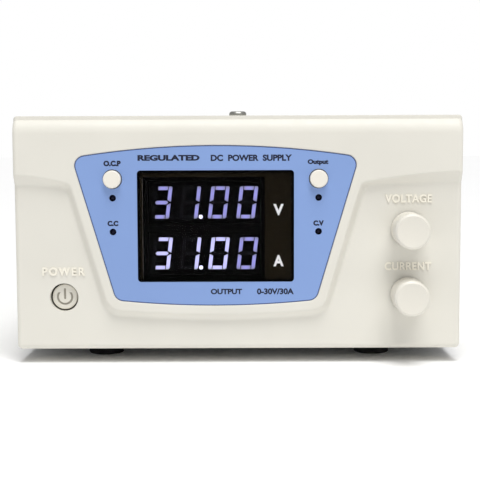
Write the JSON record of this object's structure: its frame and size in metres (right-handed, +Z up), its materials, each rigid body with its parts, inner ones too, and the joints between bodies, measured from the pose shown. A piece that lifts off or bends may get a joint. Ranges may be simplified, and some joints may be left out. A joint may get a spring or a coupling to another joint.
{
  "type": "bench power supply",
  "caption": "Bench DC power supply: moulded front with a tinted digital display, push buttons and two setting knobs; steel case with rear fan, mains inlet and output terminals.",
  "frame": {"origin": "centre of the footprint's bounding box, on the surface that the feet stand on", "axes": "+Y from the front panel to the rear, +Z up, +X to the user's right"},
  "size_m": [0.203, 0.317, 0.1136],
  "materials": {
    "ivory_plastic": "moulded, fine satin",
    "blue_film": "printed overlay, satin",
    "smoked_window": "tinted, polished",
    "black_plastic": "moulded",
    "lit_segments": "lit",
    "led_plastic": "dark lens",
    "green_board": "solder mask",
    "steel": "plated",
    "case_paint": "fine powder coat",
    "zinc": "zinc plated",
    "chrome": "nickel plated wire",
    "rubber": "moulded",
    "brass": "nickel over brass",
    "red_plastic": "moulded",
    "copper": "tinned copper bar",
    "aluminium": "extruded",
    "ferrite": "ferrite",
    "winding_tape": "polyester tape",
    "capacitor_sleeve": "shrink sleeve",
    "grey_cable": "PVC",
    "glass": "clear"
  },
  "bodies": {
    "root": {"front_bezel": "ivory_plastic", "front_overlay": "blue_film", "display_window": "smoked_window", "display_holder": "black_plastic", "voltage_display": "black_plastic", "current_display": "black_plastic", "voltage_segments": "lit_segments", "current_segments": "lit_segments", "display_board": "green_board", "indicator_leds": "led_plastic", "tact_switches": "black_plastic", "power_switch": "black_plastic", "voltage_encoder": "zinc", "current_encoder": "zinc", "encoder_nuts": "zinc", "base_tray": "zinc", "top_cover": "case_paint", "rear_panel": "case_paint", "rubber_feet": "rubber", "foot_screws": "zinc", "case_screws": "zinc", "inner_screws": "zinc", "fan_frame": "black_plastic", "fan_guard": "chrome", "fan_screws": "zinc", "mains_inlet": "black_plastic", "inlet_pins": "brass", "inlet_screws": "zinc", "terminal_posts": "brass", "post_insulators": "black_plastic", "post_nuts": "zinc", "busbars": "copper", "main_board": "green_board", "standoffs": "zinc", "heatsinks": "aluminium", "transformer_core": "ferrite", "transformer_winding": "winding_tape", "bulk_capacitors": "capacitor_sleeve", "output_capacitors": "capacitor_sleeve", "output_choke": "copper", "ribbon_cable": "grey_cable", "mains_wires": "grey_cable", "fan_cable": "grey_cable"},
    "limit_button": {"limit_button": "ivory_plastic"},
    "output_button": {"output_button": "ivory_plastic"},
    "power_button": {"power_button": "ivory_plastic", "power_switch_plunger": "black_plastic"},
    "voltage_encoder_rotor": {"voltage_encoder_rotor": "black_plastic"},
    "voltage_knob": {"voltage_shaft": "steel", "voltage_knob": "ivory_plastic"},
    "current_encoder_rotor": {"current_encoder_rotor": "black_plastic"},
    "current_knob": {"current_shaft": "steel", "current_knob": "ivory_plastic"},
    "fan_rotor": {"fan_rotor": "black_plastic"},
    "fuse_drawer": {"fuse_drawer": "black_plastic", "fuse": "glass"},
    "negative_washer": {"negative_washer": "zinc"},
    "negative_cap": {"negative_cap": "black_plastic"},
    "positive_washer": {"positive_washer": "zinc"},
    "positive_cap": {"positive_cap": "red_plastic"}
  },
  "joints": [
    {"name": "limit_button_press", "type": "slide", "parent": "root", "child": "limit_button", "axis": [0, 1, 0], "range_m": [0, 0.0008], "stiffness_N_per_m": 300, "springref_m": -0.002},
    {"name": "output_button_press", "type": "slide", "parent": "root", "child": "output_button", "axis": [0, 1, 0], "range_m": [0, 0.0008], "stiffness_N_per_m": 300, "springref_m": -0.002},
    {"name": "power_button_press", "type": "slide", "parent": "root", "child": "power_button", "axis": [0, 1, 0], "range_m": [-0.003, 0.0005]},
    {"name": "voltage_knob_turn", "type": "hinge", "parent": "root", "child": "voltage_encoder_rotor", "pos_m": [0.0762, -0.1455, 0.0607], "axis": [0, 1, 0], "continuous": true},
    {"name": "voltage_knob_push", "type": "slide", "parent": "voltage_encoder_rotor", "child": "voltage_knob", "axis": [0, 1, 0], "range_m": [0, 0.0005], "stiffness_N_per_m": 600, "springref_m": -0.004},
    {"name": "current_knob_turn", "type": "hinge", "parent": "root", "child": "current_encoder_rotor", "pos_m": [0.0762, -0.1455, 0.0313], "axis": [0, 1, 0], "continuous": true},
    {"name": "current_knob_push", "type": "slide", "parent": "current_encoder_rotor", "child": "current_knob", "axis": [0, 1, 0], "range_m": [0, 0.0005], "stiffness_N_per_m": 600, "springref_m": -0.004},
    {"name": "fan_spin", "type": "hinge", "parent": "root", "child": "fan_rotor", "pos_m": [0.052, 0.12, 0.0585], "axis": [0, 1, 0], "continuous": true},
    {"name": "fuse_drawer_slide", "type": "slide", "parent": "root", "child": "fuse_drawer", "axis": [0, 1, 0], "range_m": [0, 0.016]},
    {"name": "negative_washer_slide", "type": "slide", "parent": "root", "child": "negative_washer", "axis": [0, 1, 0], "range_m": [0, 0.005]},
    {"name": "negative_cap_turn", "type": "hinge", "parent": "negative_washer", "child": "negative_cap", "pos_m": [-0.028, 0.1345, 0.0385], "axis": [0, 1, 0], "range_deg": [0, 1440]},
    {"name": "positive_washer_slide", "type": "slide", "parent": "root", "child": "positive_washer", "axis": [0, 1, 0], "range_m": [0, 0.005]},
    {"name": "positive_cap_turn", "type": "hinge", "parent": "positive_washer", "child": "positive_cap", "pos_m": [-0.002, 0.1345, 0.0385], "axis": [0, 1, 0], "range_deg": [0, 1440]}
  ],
  "couplings": [
    {"joint": "negative_cap_turn", "follows": "negative_washer_slide", "rad_per_m": 5026.5},
    {"joint": "positive_cap_turn", "follows": "positive_washer_slide", "rad_per_m": 5026.5}
  ]
}
